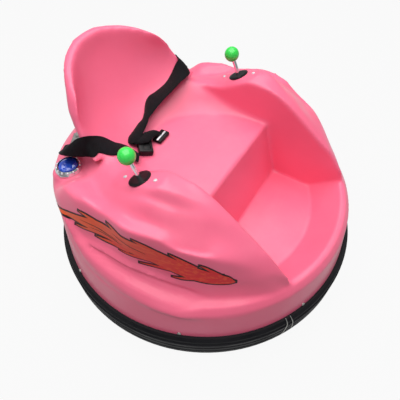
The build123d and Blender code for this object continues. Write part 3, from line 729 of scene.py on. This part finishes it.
def lick(name, rows, grow, lift):
    """One lick of the flame on the driver's right flank, grown all round for the black edge."""
    along, across = 14 * (len(rows) - 1), 8
    piece = grid(name, along, across)
    for vertex in piece.data.vertices:
        t, side = vertex.co.x + 0.5, 2 * vertex.co.y
        angle, height, half = between(rows, min(max(t, 0.0), 1.0))
        end = 1 if t > 0.5 else -1
        angle -= end * grow * ramp(abs(t - 0.5), 0.46, 0.5) / MM_PER_DEGREE
        half = max(half, 0.2) + grow
        where, normal = on_flank(angle, (height + side * half) * MM)
        vertex.co = where + normal * lift * MM
    return piece


def join(pieces, name):
    """Join the pieces into one of this name."""
    bpy.ops.object.select_all(action="DESELECT")
    for piece in pieces:
        piece.select_set(True)
    bpy.context.view_layer.objects.active = pieces[0]
    if len(pieces) > 1:
        bpy.ops.object.join()
    return current(name)


def point_outwards(piece):
    """Turn the faces of an open sheet away from the body's middle."""
    only(piece)
    pick_faces(piece, lambda c, n: n.x * c.x + n.y * c.y < 0)
    bpy.ops.mesh.flip_normals()
    bpy.ops.object.mode_set(mode="OBJECT")


def flames():
    """Both flanks' decals: a black edge round all licks together, the fills, and a few streaks."""
    for name, shapes, grow, lift, material in DECALS:
        licks = [lick(f"lick_{index}", rows, grow, lift + LICK_STEP * index)
                 for index, rows in enumerate(shapes)]
        right = join(licks, f"{name}_right")
        point_outwards(right)
        modify(right, "SOLIDIFY", thickness=FILM, offset=1)
        place(right)
        smooth_shade(right, 40)
        left = duplicate(right, f"{name}_left", MIRROR)
        for piece in (right, left):
            done(piece, "body", FINISHES[material])


def flame_finish():
    """Printed film: orange at the tail to red at the root, with faint streaks along it."""
    material = finish("flame_red", (0.5, 0.04, 0.02), roughness=(0.3, 0.4), wear=0.1, dust=0.05,
                      bump=0.03, Coat_Weight=0.1, Coat_Roughness=0.2, Specular_IOR_Level=0.25)
    tree = material.node_tree
    shader = tree.nodes["Principled BSDF"]
    parts = tree.nodes.new("ShaderNodeSeparateXYZ")
    tree.links.new(tree.nodes.new("ShaderNodeTexCoord").outputs["Object"], parts.inputs[0])
    share = spread(tree, parts.outputs["Y"], -0.2, 0.2)
    stretch = add_node(tree, "ShaderNodeMapping")
    stretch.inputs["Scale"].default_value = (1.0, 0.16, 1.0)
    tree.links.new(tree.nodes.new("ShaderNodeTexCoord").outputs["Object"], stretch.inputs["Vector"])
    streak = spread(tree, noise(tree, 170.0, 3.0, where=stretch.outputs["Vector"]), 0.45, 0.65)
    base = blend_colour(tree, share, (0.70, 0.012, 0.02), (0.84, 0.10, 0.022))
    base = blend_colour(tree, calculate(tree, "MULTIPLY", streak, 0.4), base, (0.88, 0.13, 0.03))
    tree.links.new(base, shader.inputs["Base Color"])
    return material


# -------------- lap belt
BELT_WIDTH = 50 * MM
BELT_THICK = 1.6 * MM
BELT_CLEAR = 1.6 * MM       # of the strap's middle surface off the skin
BELT_LAID = 1.8 * MM        # the same, where it is laid up onto the skin from below
BELT_SUNK = 32 * MM         # how deep under the skin a row may be drawn
# Each row: the strap's middle, and the way from one edge to the other, in millimetres; a row whose
# edges are nearer than the strap is wide is cupped.
LEFT_BELT = (
    (156, 270, 316, 24, 43, -6), (174, 254, 332, 20, 44, 12), (184, 228, 360, 8, 42, 26),
    (182, 196, 379, -2, 36, 32), (171, 171, 381, -2, 35, 32), (151, 167, 379, 12, 46, 16),
    (127, 168, 371, 22, 45, -1), (101, 169, 362, 19, 45, -11), (68, 177, 352, 18, 46, -8),
    (50, 181, 348, 14, 48, -3), (34, 181, 343, 14, 44, -3), (18, 177, 338, 15, 37, -6),
    (4, 171, 333, 16, 27, -12), (-10, 166, 328, 13, 22, -12), (-29, 164, 326, 8, 25, -8),
    (-53, 158, 326, 5, 27, -6), (-74, 151, 326, -8, 30, -4), (-80, 141, 323, -25, 20, 3),
    (-64, 136, 321, -4, -30, 6), (-42, 137, 318, 8, -32, 4), (-22, 131, 314, 10, -34, 2),
)
RIGHT_BELT = (
    (-156, 270, 316, 24, -43, 6), (-178, 254, 332, 28, -38, 14), (-200, 232, 362, 36, -28, 20),
    (-210, 207, 384, 42, -14, 25), (-192, 189, 380, 36, 2, 36), (-172, 186, 367, 40, 10, 28),
    (-158, 180, 359, 42, 18, 17), (-149, 168, 355, 42, 27, 3), (-140, 155, 348, 39, 28, -5),
    (-130, 149, 341, 36, 28, -7), (-120, 138, 331, 34, 26, -6), (-116, 124, 323, 32, 24, -8),
    (-115, 112, 318, 28, 22, -8),
)


def clear_of_body(point):
    """Move a point of the strap off the body's outer skin until it stands clear."""
    where, normal, _, distance = outside.find_nearest(point)
    inside = (point - where).dot(normal) < 0
    if inside or distance < BELT_CLEAR:
        return where + normal * BELT_CLEAR
    return point


def belt(name, rows, steps):
    """Woven strap that follows its rows and lies on the body; it arches where it is cupped."""
    piece = grid(name, steps, 12)
    length = sum((Vector(b[:3]) - Vector(a[:3])).length for a, b in zip(rows, rows[1:])) * MM
    layer = piece.data.uv_layers.active.data
    for loop in piece.data.loops:
        co = piece.data.vertices[loop.vertex_index].co
        layer[loop.index].uv = ((co.x + 0.5) * length, (co.y + 0.5) * BELT_WIDTH)
    for vertex in piece.data.vertices:
        t, side = vertex.co.x + 0.5, vertex.co.y
        row = between(rows, min(max(t, 0), 1))
        ahead, behind = between(rows, min(t + 0.002, 1)), between(rows, max(t - 0.002, 0))
        along = (Vector(ahead[:3]) - Vector(behind[:3])).normalized()
        width = Vector(row[3:]) * MM
        share = min(width.length / BELT_WIDTH, 0.985)
        width.normalize()
        upwards = width.cross(along).normalized()
        upwards = upwards if upwards.z > 0 else -upwards
        # The arc's angle, from the share that its chord is of it, and then its radius.
        bend = (24 * (1 - share)) ** 0.5
        radius = BELT_WIDTH / bend
        point = (Vector(row[:3]) * MM + width * radius * sin(side * bend)
                 + upwards * radius * (cos(side * bend) - cos(bend / 2)) * 0.6)
        over, _, _, _ = outside.ray_cast(point + upwards * BELT_SUNK, -upwards, BELT_SUNK)
        if over is not None:
            point = over + upwards * BELT_LAID
        vertex.co = clear_of_body(point)
    modify(piece, "SMOOTH", factor=0.5, iterations=6)
    for vertex in piece.data.vertices:
        vertex.co = clear_of_body(vertex.co)
    modify(piece, "SOLIDIFY", thickness=BELT_THICK, offset=0)
    modify(piece, "BEVEL", width=0.4 * MM, segments=2, limit_method="ANGLE",
           angle_limit=radians(60))
    place(piece)
    smooth_shade(piece, 50)
    return done(piece, "body", FINISHES["webbing"])


def belts():
    left = belt("belt_left", LEFT_BELT, 160)
    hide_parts("lap_belt_left")
    right = belt("belt_right", RIGHT_BELT, 120)
    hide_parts("lap_belt_right")


# Length, width, height and edge radius of the buckle's blocks, millimetres.
CASE, POCKET, MOUTH = (48, 34, 17, 3), (19, 17, 6, 1.5), (8, 24, 4, 0.8)
BUTTON, GRIP, BAR = (17.6, 15.6, 4.5, 1.2), (42, 24, 9, 3), (37, 4.6, 3.4, 1.1)
CASE_SPOT, TONGUE_SPOT = (-73, 128, 14), (-19, 117, 3)      # x, y (millimetres), turn (degrees)


def rounded_block(name, block_size, at=(0, 0, 0)):
    """A block with rounded edges, the middle of its base at a place in millimetres."""
    *size, radius = (number * MM for number in block_size)
    bpy.ops.mesh.primitive_cube_add(size=1, location=(0, 0, size[2] / 2))
    block = current(name)
    block.scale = size
    place(block)
    modify(block, "BEVEL", width=radius, segments=4)
    place(block, Matrix.Translation(Vector(at) * MM))
    return block


def cut_out(piece, cutter):
    """Cut one piece out of another; the cutter goes."""
    modify(piece, "BOOLEAN", object=cutter, operation="DIFFERENCE", solver="EXACT")
    bpy.data.objects.remove(cutter)


def lay(piece, x, y, turn):
    """Lay a piece 1 mm off the body at x, y (millimetres), turned (degrees) on the surface."""
    where, normal, _, _ = outside.ray_cast(Vector((x * MM, y * MM, FAR)), Vector((0, 0, -1)))
    place(piece, facing(where + normal * MM, normal, radians(turn)))


def buckle():
    """Case with its press button in a sunk frame, and the tongue with its bright bar."""
    case = rounded_block("buckle_case", CASE)
    cut_out(case, rounded_block("pocket", POCKET, (-8, -3, 14.5)))
    cut_out(case, rounded_block("mouth", MOUTH, (23, 0, 5.5)))
    button = rounded_block("buckle_button", BUTTON, (-8, -3, 11.8))
    grip = rounded_block("tongue_grip", GRIP)
    bar = rounded_block("tongue_bar", BAR, (2, 2, 7.6))
    for piece, spot, slot, finish_name in (
            (case, CASE_SPOT, "buckle", "buckle"), (button, CASE_SPOT, "buckle", "buckle"),
            (grip, TONGUE_SPOT, "buckle", "buckle"), (bar, TONGUE_SPOT, "tongue", "stud")):
        smooth_shade(piece, 35)
        lay(piece, *spot)
        done(piece, "body", FINISHES[finish_name])
    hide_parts("buckle_housing")
    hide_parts("buckle_tongue")


def webbing_finish():
    """Black woven polyester with its ribs, a soft sheen and a little lint."""
    material = finish("black_webbing", (0.004, 0.0035, 0.0045), (0.008, 0.007, 0.009), 30.0,
                      (0.65, 0.8), wear=0.2, wear_colour=(0.03, 0.03, 0.03), dust=0.08,
                      dust_colour=(0.03, 0.03, 0.03), Sheen_Weight=0.06, Sheen_Roughness=0.4,
                      Specular_IOR_Level=0.1)
    tree = material.node_tree
    shader = tree.nodes["Principled BSDF"]
    weave = use_group(tree, WEAVE, Threads=420.0)
    ribs = add_node(tree, "ShaderNodeBump")
    ribs.inputs["Strength"].default_value = 0.6
    ribs.inputs["Distance"].default_value = 0.4 * MM
    tree.links.new(weave.outputs["Height"], ribs.inputs["Height"])
    tree.links.new(ribs.outputs["Normal"], shader.inputs["Normal"])
    return material


# -------------- screws, studs and ties
def screw(name, radius, height):
    """Pan head screw on the origin, head up, with a cross recess."""
    bpy.ops.mesh.primitive_cylinder_add(vertices=32, radius=radius, depth=height,
                                        location=(0, 0, height / 2))
    piece = current(name)
    pick_faces(piece, lambda c, n: n.z > 0.9)
    bpy.ops.mesh.bevel(offset=height * 0.6, segments=4, affect="EDGES")
    pick_faces(piece, lambda c, n: n.z > 0.99)
    bpy.ops.mesh.inset(thickness=radius * 0.3)
    bpy.ops.object.mode_set(mode="OBJECT")
    place(piece)
    bpy.ops.mesh.primitive_cube_add(size=1, location=(0, 0, height))
    bar = current("cross")
    bar.scale = (radius * 0.9, radius * 0.2, height * 0.7)
    place(bar)
    other = duplicate(bar, "cross_two", Matrix.Rotation(pi / 2, 4, "Z"))
    for cutter in (bar, other):
        cut_out(piece, cutter)
    smooth_shade(piece, 30)
    return piece


def copies(pattern, name, places, material):
    """Copies of one pattern at each place; the pattern itself goes."""
    for index, matrix in enumerate(places):
        piece = duplicate(pattern, f"{name}_{index + 1}", matrix)
        done(piece, "body", material)
    bpy.data.objects.remove(pattern)


SCREW_HEAD = 2.6 * MM       # height of a screw's head
SCREW_SUNK = 0.3 * MM       # how far a head sits in the skin
STICK_SCREW = 43.5 * MM     # from a joystick's axis to each of its screws


def skirt_screws():
    """Eight screws round the skirt's edge, each turned its own way."""
    places = []
    for index in range(8):
        where, normal = on_flank(22.5 + 45 * index, SKIRT_LOW + 6 * MM)
        places.append(facing(where - normal * SCREW_SUNK, normal, 0.7 * index))
    copies(screw("skirt_screw_pattern", 4.4 * MM, SCREW_HEAD), "skirt_screw", places,
           FINISHES["zinc"])


def stick_screws():
    """Two screws beside each washer, in line fore and aft."""
    places = []
    for side in ("left", "right"):
        foot, axis = stick_axis(side)
        along = Vector((0, 1, 0))
        along = (along - axis * along.dot(axis)).normalized()
        for index, way in enumerate((-1, 1)):
            start = foot + along * way * STICK_SCREW + axis * 0.05
            where, _, _, _ = outside.ray_cast(start, -axis)
            places.append(facing(where - axis * SCREW_SUNK, axis, 0.5 + index))
    copies(screw("stick_screw_pattern", 4.2 * MM, SCREW_HEAD), "stick_screw", places,
           FINISHES["stud"])


STUDS = 13                  # round each lamp
STUD_RADIUS = 2.8 * MM
STUD_INSET = 4.4 * MM       # from the bezel's outer edge to a stud's middle
STUD_RISE = 8.2 * MM        # from the bezel's foot to a stud's middle


def lamp_gem():
    """Faceted dome in the place of the driver's right lens."""
    low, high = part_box("lamp_lens_right")
    radius = (high.x - low.x) / 2
    bpy.ops.mesh.primitive_ico_sphere_add(subdivisions=2, radius=radius * 0.99,
                                          location=((low.x + high.x) / 2, (low.y + high.y) / 2, 0))
    lens = current("lamp_gem_right")
    bpy.ops.object.mode_set(mode="EDIT")
    bpy.ops.mesh.select_all(action="SELECT")
    bpy.ops.mesh.bisect(plane_co=(0, 0, -MM), plane_no=(0, 0, 1), clear_inner=True, use_fill=True)
    pick_faces(lens, lambda c, n: n.z > 0.05)
    bpy.ops.mesh.inset(thickness=0.6 * MM, depth=0.4 * MM, use_individual=True)
    bpy.ops.object.mode_set(mode="OBJECT")
    place(lens)
    # The dome is flattened to the lens's height, on a short rim.
    base = low.z + 0.45 * (high.z - low.z)
    for vertex in lens.data.vertices:
        share = vertex.co.z / radius
        vertex.co.z = low.z + 0.3 * MM if share < 0 else base + share * (high.z - base) * 0.98
    return lens


def lamp_studs():
    """Row of bright studs round the driver's right bezel, leaning outwards."""
    centre = middle("lamp_lens_right")
    low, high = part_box("lamp_bezel_right")
    ring = (high.x - low.x) / 2 - STUD_INSET
    bpy.ops.mesh.primitive_uv_sphere_add(segments=14, ring_count=8, radius=STUD_RADIUS)
    stud = current("stud_pattern")
    stud.scale = (1, 1, 0.8)
    place(stud)
    smooth_shade(stud, 60)
    row = []
    for index in range(STUDS):
        turn = 2 * pi * index / STUDS
        where = Vector((centre.x + cos(turn) * ring, centre.y + sin(turn) * ring,
                        low.z + STUD_RISE))
        tilt = Matrix.Rotation(turn, 4, "Z") @ Matrix.Rotation(radians(48), 4, "Y")
        row.append(duplicate(stud, f"stud_{index}", Matrix.Translation(where) @ tilt))
    bpy.data.objects.remove(stud)
    return join(row, "lamp_studs_right")


def lamps():
    """Both lamps' gems and studs."""
    for piece, slot, material in ((lamp_gem(), "lens", FINISHES["lens"]),
                                  (lamp_studs(), "bezel", FINISHES["stud"])):
        twin = duplicate(piece, piece.name.replace("right", "left"), MIRROR)
        for each in (piece, twin):
            done(each, "body", material)
    for side in ("left", "right"):
        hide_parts(f"lamp_lens_{side}")


BOLT_ACROSS, BOLT_HEAD, BOLT_WASHER = 13 * MM, 5.3 * MM, 1.6 * MM
BOLT_HOLE = 32 * MM         # from the middle of a caster's plate to its holes, along X and Y
SOLID_SPOT = 24 * MM        # the same, to where the plate is whole


def hex_bolt(name):
    """Hex head bolt on the origin, head up, on its washer."""
    bpy.ops.mesh.primitive_cylinder_add(vertices=32, radius=BOLT_ACROSS * 0.78,
                                        depth=BOLT_WASHER, location=(0, 0, BOLT_WASHER / 2))
    washer = current("bolt_washer")
    modify(washer, "BEVEL", width=0.4 * MM, segments=2, limit_method="ANGLE")
    # A hexagon's corners lie 0.577 of its width across flats from its middle.
    bpy.ops.mesh.primitive_cylinder_add(vertices=6, radius=BOLT_ACROSS * 0.577, depth=BOLT_HEAD,
                                        location=(0, 0, BOLT_WASHER + BOLT_HEAD / 2))
    top = current("bolt_head")
    modify(top, "BEVEL", width=0.6 * MM, segments=2, limit_method="ANGLE")
    for piece in (washer, top):
        place(piece)
    bolt = join([top, washer], name)
    smooth_shade(bolt, 30)
    return bolt


def caster_bolts():
    """Four hex bolts through each caster's plate, heads below."""
    pattern = hex_bolt("caster_bolt_pattern")
    places = []
    for end in ("front", "rear"):
        plate = surface_of(nodes[f"{end}_caster_plate"])
        centre = middle(f"{end}_caster_plate")
        for dx, dy in ((-1, -1), (1, -1), (1, 1), (-1, 1)):
            beside = Vector((centre.x + dx * SOLID_SPOT, centre.y + dy * SOLID_SPOT, 0))
            under, _, _, _ = plate.ray_cast(beside, Vector((0, 0, 1)))
            hole = Vector((centre.x + dx * BOLT_HOLE, centre.y + dy * BOLT_HOLE, under.z))
            places.append(facing(hole, Vector((0, 0, -1)), 0.4 * len(places)))
    copies(pattern, "caster_bolt", places, FINISHES["zinc"])


WIRE = 0.9 * MM             # radius of the ties' wire
TIE_ANGLES = (27.6, 31.8)   # round from the front, degrees
TIE_LEAN = 0.02 / 0.07      # radians of lean for each metre of height, one way and the other


def wire_ties():
    """Two wire ties round the bumper at the front of the driver's right side."""
    low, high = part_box("bumper_ring")
    outer = high.x
    outline = [(outer - 12.5 * MM, SKIRT_LOW + 2.2 * MM), (outer - 4 * MM, SKIRT_LOW - 1 * MM),
               (outer + 0.7 * MM, SKIRT_LOW - 12 * MM), (outer + 0.7 * MM, low.z + 9 * MM),
               (outer - 6 * MM, low.z - 0.6 * MM), (outer - 24 * MM, low.z - 0.6 * MM)]
    for number, angle in enumerate(TIE_ANGLES):
        name = f"wire_tie_{number + 1}"
        curve = bpy.data.curves.new(name, "CURVE")
        curve.dimensions = "3D"
        curve.bevel_depth = WIRE
        curve.bevel_resolution = 3
        curve.use_fill_caps = True
        spline = curve.splines.new("NURBS")
        spline.points.add(len(outline) - 1)
        for point, (radius, z) in zip(spline.points, outline):
            lean = radians(angle) + TIE_LEAN * (z - low.z) * (-1) ** number
            point.co = (-sin(lean) * radius, -cos(lean) * radius, z, 1)
        spline.order_u = 3
        spline.use_endpoint_u = True
        tie = bpy.data.objects.new(name, curve)
        bpy.context.scene.collection.objects.link(tie)
        only(tie)
        bpy.ops.object.convert(target="MESH")
        tie = current(name)
        smooth_shade(tie, 60)
        done(tie, "body", FINISHES["zinc"])


# -------------- the object
FINISHES["webbing"] = webbing_finish()
FINISHES["flame_red"] = flame_finish()
skin = moulded_skin()
swell(skin)
soften(skin)
carve(skin)
outside = finish_skin(skin)     # what everything on the body is laid on
done(skin, "body", FINISHES["body"])
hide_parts("body_shell")
dress_nodes()
flames()
buckle()
belts()
skirt_screws()
stick_screws()
lamps()
caster_bolts()
wire_ties()

set_camera()
set_light()
set_floor()
